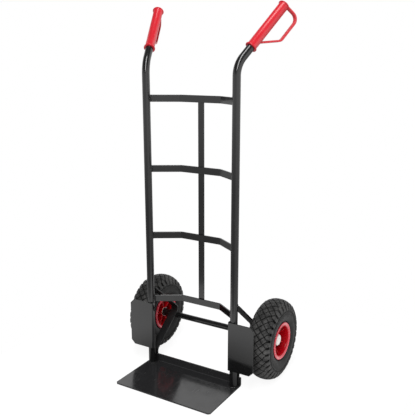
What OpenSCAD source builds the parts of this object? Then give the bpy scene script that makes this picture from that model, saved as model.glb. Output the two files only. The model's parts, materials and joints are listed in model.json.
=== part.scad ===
// Two-wheeled hand truck. +Z is up, +Y points to the back (the wheels' side) and +X to the right.
// The origin is on the floor, under the middle of the overall width and depth.

/* [Uprights] */
// Distance between the two upright tubes, centre to centre
upright_spacing = 317; // [300:1:330]
// Outside diameter of the upright tubes
tube_d = 24; // [22:1:26]
// Wall thickness of the upright tubes
tube_wall = 1.8; // [1.2:0.1:2.5]
// Height above the floor at which the tubes start to bend back
bend_start = 966; // [900:1:1000]
// Radius of the handle bend, measured to the tube's axis
bend_radius = 72; // [60:1:90]
// Angle by which the handles lean back from the vertical
handle_tilt = 46; // [35:1:55]
// Angle by which the handles splay outwards, seen from above
handle_splay = 22; // [10:1:28]
// Straight length of bare tube between the bend and the grip
handle_neck = 38; // [30:1:60]

/* [Crossbars] */
// Height of the flat bars
bar_height = 22; // [18:1:30]
// Thickness of the flat bars
bar_thickness = 5; // [3:0.5:6]
// Height above the floor of the lowest bar's top edge
first_bar_top = 246; // [240:1:260]
// Rise from one bar to the next
bar_pitch = 220; // [200:1:225]
// How far the middle of each bar is set back behind its ends
bar_bow = 55; // [30:1:60]
// Width of the straight middle part of each bar
bar_flat = 146; // [100:1:170]
// Width of the centre strip behind the bars
strip_width = 21; // [15:1:30]
// Thickness of the centre strip
strip_thickness = 4; // [3:0.5:5]

/* [Toe plate] */
// Width of the toe plate
toe_width = 353; // [345:1:380]
// Distance from the upright tubes' axes to the front edge
toe_reach = 175; // [150:1:220]
// Thickness of the toe plate
toe_thickness = 4.5; // [3:0.5:5]
// Height of the flange that turns up behind the tubes
toe_flange = 30; // [25:1:40]
// Size of the cut front corners
toe_corner = 6; // [2:1:15]

/* [Wheel guards] */
// Width of each guard plate
guard_width = 91; // [80:1:95]
// Height of each guard plate
guard_height = 163; // [140:1:165]
// Height above the floor of the guards' lower edge
guard_bottom = 62; // [55:1:70]
// Thickness of the guard plates
guard_thickness = 2.5; // [2:0.5:3]
// Size of the cut outer corners
guard_corner = 14; // [5:1:20]

/* [Axle brackets] */
// Width of the bent strap
strap_width = 28; // [20:1:30]
// Thickness of the bent strap
strap_thickness = 4.5; // [4:0.5:5]
// Height at which the strap leaves the upright
strap_top = 275; // [266:1:282]
// Height at which the lines of the strap's two arms cross at the nose
strap_nose_z = 155.5; // [155:0.5:157.5]
// Distance of that crossing behind the tubes' axes
strap_nose_y = 147; // [146:0.5:148]
// Height at which the strap's lower arm turns down behind the tube
strap_knee = 49; // [47:0.5:50]

/* [Wheels] */
// Outside diameter of the tyres
tyre_d = 263; // [260:1:265]
// Width of the tyres
tyre_width = 80.5; // [78:0.5:82]
// Distance between the two wheels' middle planes
wheel_spacing = 458; // [452:1:470]
// Distance of the axle behind the tubes' axes
axle_back = 133; // [132:0.5:134]
// Diameter of the axle
axle_d = 20; // [20:0.5:21]
// Outside diameter of the rim flanges
rim_flange_d = 122; // [120:1:123]
// Number of ribs in each rim half
rib_count = 6; // [6:3:6]

/* [Grips] */
// Length of the grip sleeve
grip_length = 174; // [160:1:180]
// Outside diameter of the grip sleeve
grip_d = 29.5; // [27:0.5:32]
// Diameter of the collars at both ends
collar_d = 35.5; // [34:0.5:38]
// Distance from the grip's axis to the middle of the hand guard
guard_loop_reach = 60.5; // [55:0.5:65]
// Width of the hand guard's strip
loop_width = 12; // [8:0.5:14]
// Thickness of the hand guard's strip
loop_thickness = 6; // [4:0.5:7]
// Angle by which the hand guard is turned outwards about the grip
loop_twist = 7; // [0:1:10]

/* [Hidden] */
$fn = 64;

BLACK = "#262628";
RED = "#c8202a";
STEEL = "#9a9ca0";

tube_r = tube_d / 2;
half_spacing = upright_spacing / 2;
axle_r = axle_d / 2;
tyre_r = tyre_d / 2;
wheel_x = wheel_spacing / 2;
// The tubes' axes lie this far from the middle of the overall depth
upright_y = (toe_reach - axle_back - tyre_r) / 2;
eps = 1;

// How much bending takes off the tube's radii, and how far the straight runs reach into the bend
bend_thinning = 0.02;
bend_overlap = 1;
// The front faces of the crossbars meet the tubes this far behind the tubes' axes
bar_end_y = 3.3;
bar_bend = 12;
strip_end_gap = 3;
strap_bend = 16;
strap_inset = 4;
// The straps end just above the rounded inner corner of the toe plate's flange
strap_foot = toe_thickness + 2.5;
spacer_wall = 3.5;
// Thickness of the grip's closed end, and height of its collars
grip_end = 5;
collar_h = 4;
// Hand guard: where its two arms leave the sleeve and how high its corners are, along the grip
loop_foot = 34;
loop_low_corner = 91;
loop_high_corner = 183.5;
loop_head = 177;
loop_bend = 20;

// Rim, measured from the wheel's middle plane and axis
rim_seat_r = 51;
rim_wall = 4;
rim_half_width = 33;
rim_lip = 4;
web_thickness = 3.5;
hub_r = 17;
bush_r = 13;
hub_outer_end = 12;
hub_inner_end = 28;
rib_thickness = 3.5;
// Heights of the ribs at the barrel and at the hub, on the outer and on the inner side
outer_ribs = [24, 5];
inner_ribs = [33, 27];
rib_gap = 1;
lip_edge = 1.5;
lip_width = 6;
lip_slope = 4;
barrel_chamfer = 10;
bolt_circle = 32;
bolt_r = 3;
bolt_head_r = 5.5;
bolt_head_h = 4;
bolt_boss_r = 7;
bolt_boss_h = 7;
bolt_tail = 7;
nut_h = 5;
bush_clearance = 0.05;
bush_flange = 1.5;
bush_length = 10;
washer_r = 15.5;
washer_thickness = 2;
side_play = 0.3;
pin_r = 1.6;
pin_reach = 14.5;
pin_eye_r = 2.6;
cap_r = 18.2;
cap_wall = 1.5;
cap_grip = 6;
cap_depth = 11.5;
tyre_section_r = tyre_width / 2;
tyre_wall = 7;
// The tread's shoulders are fuller than the round section
shoulder_r = 28;
shoulder_out = 11.5;
shoulder_up = 9.5;
tube_gap = 0.4;
tube_rubber = 2;
bead_gap = 0.3;
bead_height = 4;
bead_overhang = 3.5;
bead_opening = 26;
valve_r = 3.5;
valve_length = 30;
valve_root = 33;
valve_thread = 3;
valve_cap_r = 4.6;
valve_cap_length = 11;
valve_lean = 39;
washer_face = hub_outer_end + bush_flange + side_play;
pin_x = wheel_x + washer_face + washer_thickness + pin_r + side_play;
axle_end = pin_x + pin_r + 1.5;
// The left wheel stands a little further round than the right one
left_wheel_turn = 18;

function unit(v) = v / norm(v);
function left_of(v) = [-v[1], v[0]];
function turned(v, a) = [v[0] * cos(a) - v[1] * sin(a), v[0] * sin(a) + v[1] * cos(a)];
function turn_angle(a, b) = atan2(a[0] * b[1] - a[1] * b[0], a * b);

// Pairs [point, normal] along a strip's middle line, with an arc of bend_r at each inner corner
function strip_middle(points, bend_r, steps = 8) =
    let (last = len(points) - 1)
    [for (i = [0:last])
        if (i == 0)
            [points[0], left_of(unit(points[1] - points[0]))]
        else if (i == last)
            [points[last], left_of(unit(points[last] - points[last - 1]))]
        else
            let (before = unit(points[i] - points[i - 1]),
                 after = unit(points[i + 1] - points[i]),
                 bend = turn_angle(before, after),
                 side = sign(bend),
                 start = points[i] - before * bend_r * tan(abs(bend) / 2),
                 centre = start + left_of(before) * side * bend_r)
            for (k = [0:steps])
                let (normal = turned(left_of(before), bend * k / steps))
                [centre - normal * side * bend_r, normal]];

// Outline of a strip of even thickness, bent along a line of points
function strip_outline(points, bend_r, thickness) =
    let (middle = strip_middle(points, bend_r), last = len(middle) - 1)
    concat([for (m = middle) m[0] + m[1] * thickness / 2],
           [for (i = [last:-1:0]) middle[i][0] - middle[i][1] * thickness / 2]);

// Draws its children on the right (side = 1) or mirrored on the left (side = -1)
module on_side(side) {
    mirror([side < 0 ? 1 : 0, 0, 0]) children();
}

// Moves its children from the tubes' axes to the origin under the middle of the whole
module in_frame() {
    translate([0, upright_y, 0]) children();
}

// Stands an outline drawn in Y and Z up and gives it a width along X, centred on x
module across(x, width) {
    translate([x, 0, 0]) rotate([90, 0, 90])
        linear_extrude(height = width, center = true) children();
}

// Lays a shape made along Z on the X axis, pointing to +X
module along_x() {
    rotate([0, 90, 0]) children();
}

module ring(outer, inner, height) {
    difference() {
        cylinder(r = outer, h = height);
        translate([0, 0, -eps]) cylinder(r = inner, h = height + 2 * eps);
    }
}

// The start of the handle bend, with +Y in the direction in which the handle leans
module at_bend() {
    translate([half_spacing, 0, bend_start]) rotate([0, 0, -handle_splay]) children();
}

// The end of the handle bend, with +Z along the handle
module at_handle() {
    at_bend()
        translate([0, bend_radius * (1 - cos(handle_tilt)), bend_radius * sin(handle_tilt)])
            rotate([-handle_tilt, 0, 0]) children();
}

// Rod along the whole upright: straight, bent back and straight again to just inside the grip's end.
// The straight runs reach a little into the bend, which bending has made slightly thinner.
module upright_rod(radius, past_ends) {
    translate([half_spacing, 0, toe_thickness - past_ends])
        cylinder(r = radius, h = bend_start - toe_thickness + past_ends + bend_overlap);
    at_bend() translate([0, bend_radius, 0]) rotate([90, 0, -90])
        rotate_extrude(angle = handle_tilt) translate([bend_radius, 0])
            circle(r = radius - bend_thinning);
    at_handle() translate([0, 0, -bend_overlap])
        cylinder(r = radius, h = handle_neck + grip_length - grip_end + past_ends + bend_overlap);
}

// Upright: one bent tube from the toe plate to the end of the grip
module upright(side) {
    color(BLACK) in_frame() on_side(side) difference() {
        upright_rod(tube_r, 0);
        upright_rod(tube_r - tube_wall, eps);
    }
}

// Crossbar: a flat bar, bent twice so that its middle is set back, coped to the tubes
module crossbar(number) {
    top = first_bar_top + (number - 1) * bar_pitch;
    ends_y = bar_end_y + bar_thickness / 2;
    color(BLACK) in_frame() difference() {
        translate([0, 0, top - bar_height]) linear_extrude(height = bar_height)
            polygon(strip_outline([[-half_spacing, ends_y], [-bar_flat / 2, ends_y + bar_bow],
                                   [bar_flat / 2, ends_y + bar_bow], [half_spacing, ends_y]],
                                  bar_bend, bar_thickness));
        for (side = [-1, 1]) {
            translate([side * half_spacing, 0, top - bar_height - eps])
                cylinder(r = tube_r, h = bar_height + 2 * eps);
            translate([side * (half_spacing + tube_r), 0, top - bar_height / 2])
                cube([2 * tube_r, 4 * tube_r, bar_height + 2 * eps], center = true);
        }
    }
}

// Centre strip: a flat bar welded up the backs of the crossbars
module centre_strip() {
    front = bar_end_y + bar_bow + bar_thickness;
    bottom = first_bar_top - bar_height + strip_end_gap;
    top = first_bar_top + 3 * bar_pitch - strip_end_gap;
    color(BLACK) in_frame() translate([-strip_width / 2, front, bottom])
        cube([strip_width, strip_thickness, top - bottom]);
}

// Toe plate: flat plate with a flange turned up behind the tubes, front corners cut off
module toe_plate() {
    flange_y = tube_r + strap_thickness + toe_thickness / 2;
    color(BLACK) in_frame() difference() {
        across(0, toe_width) polygon(strip_outline(
            [[-toe_reach, toe_thickness / 2], [flange_y, toe_thickness / 2], [flange_y, toe_flange]],
            toe_thickness, toe_thickness));
        for (side = [-1, 1])
            translate([side * toe_width / 2, -toe_reach, toe_thickness / 2]) rotate([0, 0, 45])
                cube([toe_corner * sqrt(2), toe_corner * sqrt(2), 3 * toe_thickness], center = true);
    }
}

// Wheel guard: plate on the front of the tube, folded back along the tube's inner side
module wheel_guard(side) {
    inner = half_spacing - tube_r - guard_thickness;
    outer = inner + guard_width;
    top = guard_bottom + guard_height;
    color(BLACK) in_frame() on_side(side) {
        translate([0, -tube_r, 0]) rotate([90, 0, 0]) linear_extrude(height = guard_thickness)
            polygon([[inner, guard_bottom], [outer - guard_corner, guard_bottom],
                     [outer, guard_bottom + guard_corner], [outer, top - guard_corner],
                     [outer - guard_corner, top], [inner, top]]);
        translate([inner, -tube_r - guard_thickness, guard_bottom])
            cube([guard_thickness, tube_r + guard_thickness, guard_height]);
    }
}

// Axle bracket: a strap from the tube's back, round a nose above the axle, to the tube's foot
module axle_bracket(side) {
    tail_y = tube_r + strap_thickness / 2;
    start_y = tube_r - strap_inset;
    color(BLACK) in_frame() on_side(side) difference() {
        across(half_spacing, strap_width) polygon(strip_outline(
            [[start_y, strap_top], [strap_nose_y, strap_nose_z], [tail_y, strap_knee],
             [tail_y, strap_foot]], strap_bend, strap_thickness));
        translate([half_spacing, 0, 0]) cylinder(r = tube_r, h = 2 * strap_top);
        translate([0, 0, strap_top]) cube([2 * wheel_x, 2 * tube_r, tube_d], center = true);
        translate([0, axle_back, tyre_r]) along_x() cylinder(r = axle_r, h = wheel_x);
    }
}

// Axle: a solid bar under both brackets, drilled across near each end for a cotter pin
module axle() {
    color(BLACK) in_frame() translate([0, axle_back, tyre_r]) difference() {
        translate([-axle_end, 0, 0]) along_x() cylinder(r = axle_r, h = 2 * axle_end);
        for (side = [-1, 1])
            translate([side * pin_x, 0, -2 * axle_r]) cylinder(r = pin_r, h = 4 * axle_r, $fn = 32);
    }
}

// Puts its children on a wheel's axis in its middle plane, with +X pointing outwards
module at_wheel(side) {
    on_side(side) in_frame() translate([wheel_x, axle_back, tyre_r])
        rotate([side < 0 ? left_wheel_turn : 0, 0, 0]) children();
}

module axle_spacer(side) {
    start = half_spacing + strap_width / 2;
    end = wheel_x - hub_inner_end - bush_flange - 2 * side_play - washer_thickness;
    color(STEEL) at_wheel(side)
        translate([start - wheel_x, 0, 0]) along_x() ring(axle_r + spacer_wall, axle_r, end - start);
}

module inner_washer(side) {
    color(STEEL) at_wheel(side)
        translate([-hub_inner_end - bush_flange - side_play - washer_thickness, 0, 0]) along_x()
            ring(washer_r, axle_r, washer_thickness);
}

module outer_washer(side) {
    color(STEEL) at_wheel(side)
        translate([washer_face, 0, 0]) along_x() ring(washer_r, axle_r, washer_thickness);
}

// Cotter pin: a straight pin through the axle with an eye at the top
module cotter_pin(side) {
    color(STEEL) on_side(side) in_frame() translate([pin_x, axle_back, tyre_r]) {
        translate([0, 0, -pin_reach]) cylinder(r = pin_r, h = 2 * pin_reach - pin_eye_r, $fn = 32);
        translate([0, 0, pin_reach - pin_eye_r]) along_x() rotate_extrude($fn = 32)
            translate([pin_eye_r - pin_r / 2, 0]) circle(r = pin_r / 2, $fn = 24);
    }
}

// One half of the rim, drawn along Z from the wheel's middle plane: barrel, flange, web, hub and ribs
module rim_half(hub_length, ribs) {
    lip = rim_half_width + rim_lip;
    inner = rim_seat_r - rim_wall;
    flange_r = rim_flange_d / 2;
    rotate_extrude() {
        polygon([[inner, 0], [rim_seat_r, 0], [rim_seat_r, rim_half_width], [flange_r, rim_half_width],
                 [flange_r, lip - lip_edge], [flange_r - lip_edge, lip], [flange_r - lip_width, lip],
                 [rim_seat_r - rim_wall / 2, lip - lip_slope], [inner, lip - barrel_chamfer]]);
        polygon([[bush_r, 0], [inner + eps, 0], [inner + eps, web_thickness], [bush_r, web_thickness]]);
        polygon([[bush_r, 0], [hub_r, 0], [hub_r, hub_length], [bush_r, hub_length]]);
    }
    for (k = [0:rib_count - 1]) rotate([0, 0, k * 360 / rib_count])
        rotate([90, 0, 0]) linear_extrude(height = rib_thickness, center = true)
            polygon([[hub_r - eps, 0], [inner + eps, 0], [inner + eps, ribs[0]],
                     [cap_r + rib_gap, ribs[1]], [hub_r - eps, ribs[1]]]);
    at_bolts() cylinder(r = bolt_boss_r, h = bolt_boss_h, $fn = 32);
}

// The bolts sit in every second bay between the ribs
module at_bolts() {
    bay = 360 / rib_count;
    for (k = [0:rib_count / 2 - 1]) rotate([0, 0, (2 * k + 0.5) * bay])
        translate([bolt_circle, 0, 0]) children();
}

// Axis of the valve, from inside the inner tube towards the wheel's outer side
module at_valve() {
    bay = 360 / rib_count;
    rotate([0, 0, 3.5 * bay]) translate([tyre_r - tyre_section_r - valve_root, 0, 0])
        rotate([0, valve_lean - 90, 0]) children();
}

module bolt_holes() {
    at_bolts() translate([0, 0, -eps]) cylinder(r = bolt_r + 0.2, h = bolt_boss_h + 2 * eps, $fn = 32);
}

module rim_outer(side) {
    color(RED) at_wheel(side) along_x() difference() {
        rim_half(hub_outer_end, outer_ribs);
        bolt_holes();
        at_valve() cylinder(r = valve_r + 0.3, h = valve_length, $fn = 32);
    }
}

module rim_inner(side) {
    color(RED) at_wheel(side) along_x() mirror([0, 0, 1]) difference() {
        rim_half(hub_inner_end, inner_ribs);
        bolt_holes();
    }
}

// Hexagon head bolts through both webs, heads on the outer side
module rim_bolts(side) {
    color(BLACK) at_wheel(side) along_x() at_bolts() {
        translate([0, 0, bolt_boss_h]) cylinder(r = bolt_head_r, h = bolt_head_h, $fn = 6);
        translate([0, 0, -bolt_boss_h - bolt_tail])
            cylinder(r = bolt_r, h = 2 * bolt_boss_h + bolt_tail, $fn = 32);
    }
}

module rim_nuts(side) {
    color(BLACK) at_wheel(side) along_x() at_bolts()
        translate([0, 0, -bolt_boss_h - nut_h]) difference() {
            cylinder(r = bolt_head_r, h = nut_h, $fn = 6);
            translate([0, 0, -eps]) cylinder(r = bolt_r, h = nut_h + 2 * eps, $fn = 32);
        }
}

// Plain bearings: a flanged bush pressed into each end of the hub
module hub_bushes(side) {
    color("#d8d4c8") at_wheel(side) along_x() {
        translate([0, 0, hub_outer_end]) flanged_bush();
        translate([0, 0, -hub_inner_end]) mirror([0, 0, 1]) flanged_bush();
    }
}

// Bush with its flange above z = 0 and its barrel below
module flanged_bush() {
    bore = axle_r + bush_clearance;
    difference() {
        union() {
            cylinder(r = washer_r, h = bush_flange);
            translate([0, 0, -bush_length]) cylinder(r = bush_r, h = bush_length);
        }
        translate([0, 0, -bush_length - eps]) cylinder(r = bore, h = bush_length + bush_flange + 2 * eps);
    }
}

// Tyre: a round carcass with full shoulders, and beads that sit between the rim flanges
module tyre(side) {
    middle = tyre_r - tyre_section_r;
    bead_r = rim_flange_d / 2 + bead_gap;
    color("#333436") at_wheel(side) along_x() rotate_extrude($fn = 96) difference() {
        union() {
            translate([middle, 0]) circle(r = tyre_section_r);
            for (way = [-1, 1])
                translate([middle + shoulder_up, way * shoulder_out]) circle(r = shoulder_r);
            polygon([[rim_seat_r, -rim_half_width], [bead_r, -rim_half_width],
                     [bead_r + bead_height, -rim_half_width - bead_overhang],
                     [middle, -tyre_section_r], [middle, tyre_section_r],
                     [bead_r + bead_height, rim_half_width + bead_overhang],
                     [bead_r, rim_half_width], [rim_seat_r, rim_half_width]]);
        }
        translate([middle, 0]) circle(r = tyre_section_r - tyre_wall);
        translate([middle / 2, 0]) square([middle, 2 * bead_opening], center = true);
        translate([0, -tyre_width]) square([rim_seat_r, 2 * tyre_width]);
    }
}

module inner_tube(side) {
    outer = tyre_section_r - tyre_wall - tube_gap;
    color("#1c1c1c") at_wheel(side) along_x() rotate_extrude($fn = 96)
        translate([tyre_r - tyre_section_r, 0]) difference() {
            circle(r = outer);
            circle(r = outer - tube_rubber);
        }
}

module valve(side) {
    color("#1c1c1c") at_wheel(side) along_x() difference() {
        at_valve() cylinder(r = valve_r, h = valve_length - valve_cap_length + valve_thread, $fn = 32);
        rotate_extrude($fn = 96) translate([tyre_r - tyre_section_r, 0])
            circle(r = tyre_section_r - tyre_wall - tube_gap);
    }
}

module valve_cap(side) {
    color("#111111") at_wheel(side) along_x() at_valve()
        translate([0, 0, valve_length - valve_cap_length]) difference() {
            cylinder(r = valve_cap_r, h = valve_cap_length, $fn = 32);
            translate([0, 0, -eps]) cylinder(r = valve_r, h = valve_thread + eps, $fn = 32);
        }
}

// Hub cap: a cup that snaps over the hub and hides the cotter pin
module hub_cap(side) {
    color("#f2efe6") at_wheel(side) translate([hub_outer_end - cap_grip, 0, 0]) along_x()
        difference() {
            cylinder(r = cap_r, h = cap_grip + cap_depth);
            translate([0, 0, -eps]) cylinder(r = hub_r, h = cap_grip + cap_depth - cap_wall + eps);
        }
}

// Grip: sleeve with a collar at each end, closed at the top, with a hand guard below it
module grip(side) {
    arm_root = tube_r + eps;
    color(RED) in_frame() on_side(side) at_handle() translate([0, 0, handle_neck]) difference() {
        union() {
            cylinder(r = grip_d / 2, h = grip_length);
            cylinder(r = collar_d / 2, h = collar_h);
            translate([0, 0, grip_length - collar_h]) cylinder(r = collar_d / 2, h = collar_h);
            rotate([0, 0, -loop_twist]) across(0, loop_width) polygon(strip_outline(
                [[arm_root, loop_foot], [guard_loop_reach, loop_low_corner],
                 [guard_loop_reach, loop_high_corner], [arm_root, loop_head]],
                loop_bend, loop_thickness));
        }
        translate([0, 0, -eps]) cylinder(r = tube_r, h = grip_length - grip_end + eps);
    }
}

crossbar(1);  // crossbar_1
crossbar(2);  // crossbar_2
crossbar(3);  // crossbar_3
crossbar(4);  // crossbar_4
centre_strip();
toe_plate();
axle();
upright(-1);  // left_upright
wheel_guard(-1);  // left_wheel_guard
axle_bracket(-1);  // left_axle_bracket
grip(-1);  // left_grip
axle_spacer(-1);  // left_axle_spacer
inner_washer(-1);  // left_inner_washer
outer_washer(-1);  // left_outer_washer
cotter_pin(-1);  // left_cotter_pin
upright(1);  // right_upright
wheel_guard(1);  // right_wheel_guard
axle_bracket(1);  // right_axle_bracket
grip(1);  // right_grip
axle_spacer(1);  // right_axle_spacer
inner_washer(1);  // right_inner_washer
outer_washer(1);  // right_outer_washer
cotter_pin(1);  // right_cotter_pin
rim_outer(-1);  // left_rim_outer
rim_inner(-1);  // left_rim_inner
rim_bolts(-1);  // left_rim_bolts
rim_nuts(-1);  // left_rim_nuts
hub_bushes(-1);  // left_hub_bushes
tyre(-1);  // left_tyre
inner_tube(-1);  // left_inner_tube
valve(-1);  // left_valve
valve_cap(-1);  // left_valve_cap
hub_cap(-1);  // left_hub_cap
rim_outer(1);  // right_rim_outer
rim_inner(1);  // right_rim_inner
rim_bolts(1);  // right_rim_bolts
rim_nuts(1);  // right_rim_nuts
hub_bushes(1);  // right_hub_bushes
tyre(1);  // right_tyre
inner_tube(1);  // right_inner_tube
valve(1);  // right_valve
valve_cap(1);  // right_valve_cap
hub_cap(1);  // right_hub_cap
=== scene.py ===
import json
import math

import bmesh
import bpy
from mathutils import Matrix, Vector


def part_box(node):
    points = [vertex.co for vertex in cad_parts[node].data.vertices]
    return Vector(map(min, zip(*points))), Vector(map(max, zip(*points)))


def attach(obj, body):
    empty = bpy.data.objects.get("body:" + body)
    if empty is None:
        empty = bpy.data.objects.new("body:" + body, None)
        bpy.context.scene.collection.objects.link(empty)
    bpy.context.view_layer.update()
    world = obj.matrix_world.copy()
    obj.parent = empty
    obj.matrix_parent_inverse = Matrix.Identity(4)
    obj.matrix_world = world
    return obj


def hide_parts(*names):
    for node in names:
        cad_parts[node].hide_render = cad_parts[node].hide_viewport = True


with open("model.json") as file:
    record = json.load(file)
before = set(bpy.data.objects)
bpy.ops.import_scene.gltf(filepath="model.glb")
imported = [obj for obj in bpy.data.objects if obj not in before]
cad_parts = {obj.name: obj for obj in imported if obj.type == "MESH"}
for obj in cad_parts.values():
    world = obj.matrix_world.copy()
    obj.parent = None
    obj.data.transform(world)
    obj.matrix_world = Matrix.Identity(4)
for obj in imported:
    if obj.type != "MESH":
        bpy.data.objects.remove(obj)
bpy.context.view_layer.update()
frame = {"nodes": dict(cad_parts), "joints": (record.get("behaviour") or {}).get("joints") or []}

# ---------------------------------------------------------------------------
# Black paint. Every steel part of the frame is powder coated in black after welding. The coat is glossy
# on the tubes and plates, with a faint orange peel, and duller on the axle straps. Handling leaves it a
# little dusty and smeared, and loads scratch the toe plate.
# ---------------------------------------------------------------------------


class Value:
    """A number or colour worked out at every point of a surface, so that its maths reads like sums."""

    def __init__(self, finish, socket):
        self.finish = finish
        self.socket = socket

    def maths(self, operation, *others):
        return self.finish.node("ShaderNodeMath", {"operation": operation}, [self, *others])

    def __add__(self, other):
        return self.maths("ADD", other)

    def __sub__(self, other):
        return self.maths("SUBTRACT", other)

    def __rsub__(self, other):
        return self.finish.node("ShaderNodeMath", {"operation": "SUBTRACT"}, [other, self])

    def __mul__(self, other):
        return self.maths("MULTIPLY", other)

    def __pow__(self, other):
        return self.maths("POWER", other)

    __radd__ = __add__
    __rmul__ = __mul__

    def between(self, low, high):
        """0 below low, 1 above high and a smooth rise from one to the other."""
        settings = {"interpolation_type": "SMOOTHSTEP"}
        return self.finish.node("ShaderNodeMapRange", settings, [self, low, high])


class Finish:
    """The nodes of a material or a world. node() adds any node, and surface() closes a material."""

    def __init__(self, owner):
        self.owner = owner
        owner.use_nodes = True
        self.tree = owner.node_tree
        self.tree.nodes.clear()

    def node(self, kind, settings, inputs, output=0):
        """Adds a node, with its settings first and then its inputs, in order or by name."""
        node = self.tree.nodes.new(kind)
        for name, value in settings.items():
            setattr(node, name, value)
        named = inputs.items() if isinstance(inputs, dict) else enumerate(inputs)
        for key, value in named:
            if isinstance(value, Value):
                self.tree.links.new(value.socket, node.inputs[key])
            else:
                node.inputs[key].default_value = value
        return Value(self, node.outputs[output])

    def place(self):
        """The point's own place on the piece."""
        return self.node("ShaderNodeTexCoord", {}, [], "Object")

    def noise(self, size, detail=3.0, stretch=(1, 1, 1)):
        """Cloudy noise with patches about as large as size, in metres."""
        scaled = self.node("ShaderNodeVectorMath", {"operation": "MULTIPLY"}, [self.place(), stretch])
        inputs = {"Vector": scaled, "Scale": 1 / size, "Detail": detail}
        return self.node("ShaderNodeTexNoise", {}, inputs)

    def mix(self, amount, first, second):
        """One colour turning into another."""
        return self.node("ShaderNodeMix", {"data_type": "RGBA"}, {0: amount, 6: first, 7: second}, 2)

    def bump(self, height, depth):
        """A surface normal for a height from 0 to 1, which stands for so many metres."""
        return self.node("ShaderNodeBump", {}, {"Height": height, "Distance": depth})

    def surface(self, **inputs):
        """The finished surface, with inputs named as in Principled BSDF and spaces as underscores."""
        named = {name.replace("_", " "): value for name, value in inputs.items()}
        shader = self.node("ShaderNodeBsdfPrincipled", {}, named)
        output = self.tree.nodes.new("ShaderNodeOutputMaterial")
        self.tree.links.new(shader.socket, output.inputs["Surface"])
        return self.owner


def new_finish(name):
    """An empty material to be filled with nodes."""
    return Finish(bpy.data.materials.new(name))


def black_paint(name, roughness, black=0.0065, scratched=0.0, coat=0.35):
    """Black powder coat. coat is the weight of the clear gloss layer over it."""
    paint = new_finish(name)
    peel = paint.noise(0.0022, 2.0)
    smears = paint.noise(0.05, 4.0, (1, 1, 0.35)).between(0.42, 0.72)
    dust = paint.noise(0.009, 5.0).between(0.52, 0.8) * smears
    scratches = paint.noise(0.004, 2.0, (1, 0.06, 1)).between(0.60, 0.72) * scratched
    base = paint.mix(dust * 0.22, (black, black, black * 1.05, 1), (0.06, 0.058, 0.055, 1))
    return paint.surface(
        Base_Color=paint.mix(scratches * 0.3, base, (0.05, 0.05, 0.05, 1)),
        Roughness=roughness + 0.10 * smears + 0.15 * dust + 0.12 * scratches,
        Coat_Weight=coat,
        Coat_Roughness=0.07,
        Normal=paint.bump(peel - 0.4 * scratches, 0.00003),
    )


frame_paint = black_paint("black_powder_coat", 0.16)

# ---------------------------------------------------------------------------
# Uprights. Two steel tubes, welded to the toe plate at the foot and bent back and outwards at the top,
# where each one carries a grip. The bends are drawn smooth and painted with the rest of the frame.
# ---------------------------------------------------------------------------

UP = Vector((0, 0, 1))
BACK = Vector((0, 1, 0))
RIGHT = Vector((1, 0, 0))

guard_low, guard_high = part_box("right_wheel_guard")
toe_low, toe_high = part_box("toe_plate")
GUARD_THICKNESS = 0.0025
TUBE_RADIUS = 0.012
TUBE_X = guard_low.x + GUARD_THICKNESS + TUBE_RADIUS
TUBE_Y = guard_high.y
TOE_THICKNESS = 0.0045
BEND_START = 0.966
BEND_RADIUS = 0.072
HANDLE_TILT = math.radians(46)
HANDLE_SPLAY = math.radians(22)
HANDLE_NECK = 0.038
GRIP_LENGTH = 0.174
GRIP_END = 0.005

handle_lean = Vector((math.sin(HANDLE_SPLAY), math.cos(HANDLE_SPLAY), 0))
handle_axis = handle_lean * math.sin(HANDLE_TILT) + UP * math.cos(HANDLE_TILT)
tube_foot = Vector((TUBE_X, TUBE_Y, TOE_THICKNESS))
bend_cut = BEND_RADIUS * math.tan(HANDLE_TILT / 2)
tube_corner = Vector((TUBE_X, TUBE_Y, BEND_START + bend_cut))
grip_start = tube_corner + handle_axis * (bend_cut + HANDLE_NECK)
tube_end = grip_start + handle_axis * (GRIP_LENGTH - GRIP_END)


def axes(origin, heading, side):
    """The matrix that puts Z on a heading, X as near to side as it goes and zero on the origin."""
    z = Vector(heading).normalized()
    y = z.cross(Vector(side)).normalized()
    x = y.cross(z)
    return Matrix.Translation(Vector(origin)) @ Matrix((x, y, z)).transposed().to_4x4()


def run(mesh, ring, travel):
    """Draws a ring of edges along a straight line and returns its new end."""
    drawn = bmesh.ops.extrude_edge_only(mesh, edges=ring)["geom"]
    verts = [item for item in drawn if isinstance(item, bmesh.types.BMVert)]
    bmesh.ops.translate(mesh, verts=verts, vec=travel)
    return [item for item in drawn if isinstance(item, bmesh.types.BMEdge)]


def draw_through(mesh, ring, points, radius, steps=8):
    """Draws a ring of edges through a line of points, with a bend at each inner one."""
    here = Vector(points[0])
    for before, corner, after in zip(points, points[1:], points[2:]):
        arriving = (Vector(corner) - Vector(before)).normalized()
        leaving = (Vector(after) - Vector(corner)).normalized()
        angle = arriving.angle(leaving)
        cut = radius * math.tan(angle / 2)
        bend = Vector(corner) - arriving * cut
        ring = run(mesh, ring, bend - here)
        axis = arriving.cross(leaving).normalized()
        centre = bend + axis.cross(arriving) * radius
        turned = bmesh.ops.spin(mesh, geom=ring, cent=centre, axis=axis, angle=angle, steps=steps)
        ring = [item for item in turned["geom_last"] if isinstance(item, bmesh.types.BMEdge)]
        here = Vector(corner) + leaving * cut
    return run(mesh, ring, Vector(points[-1]) - here)


def close(mesh, ring):
    """Closes a ring of edges with one face."""
    bmesh.ops.contextual_create(mesh, geom=ring)


def circle(mesh, matrix, radius):
    """The edges of a circle."""
    made = bmesh.ops.create_circle(mesh, segments=48, radius=radius, matrix=matrix)
    return list({edge for vert in made["verts"] for edge in vert.link_edges})


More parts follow.
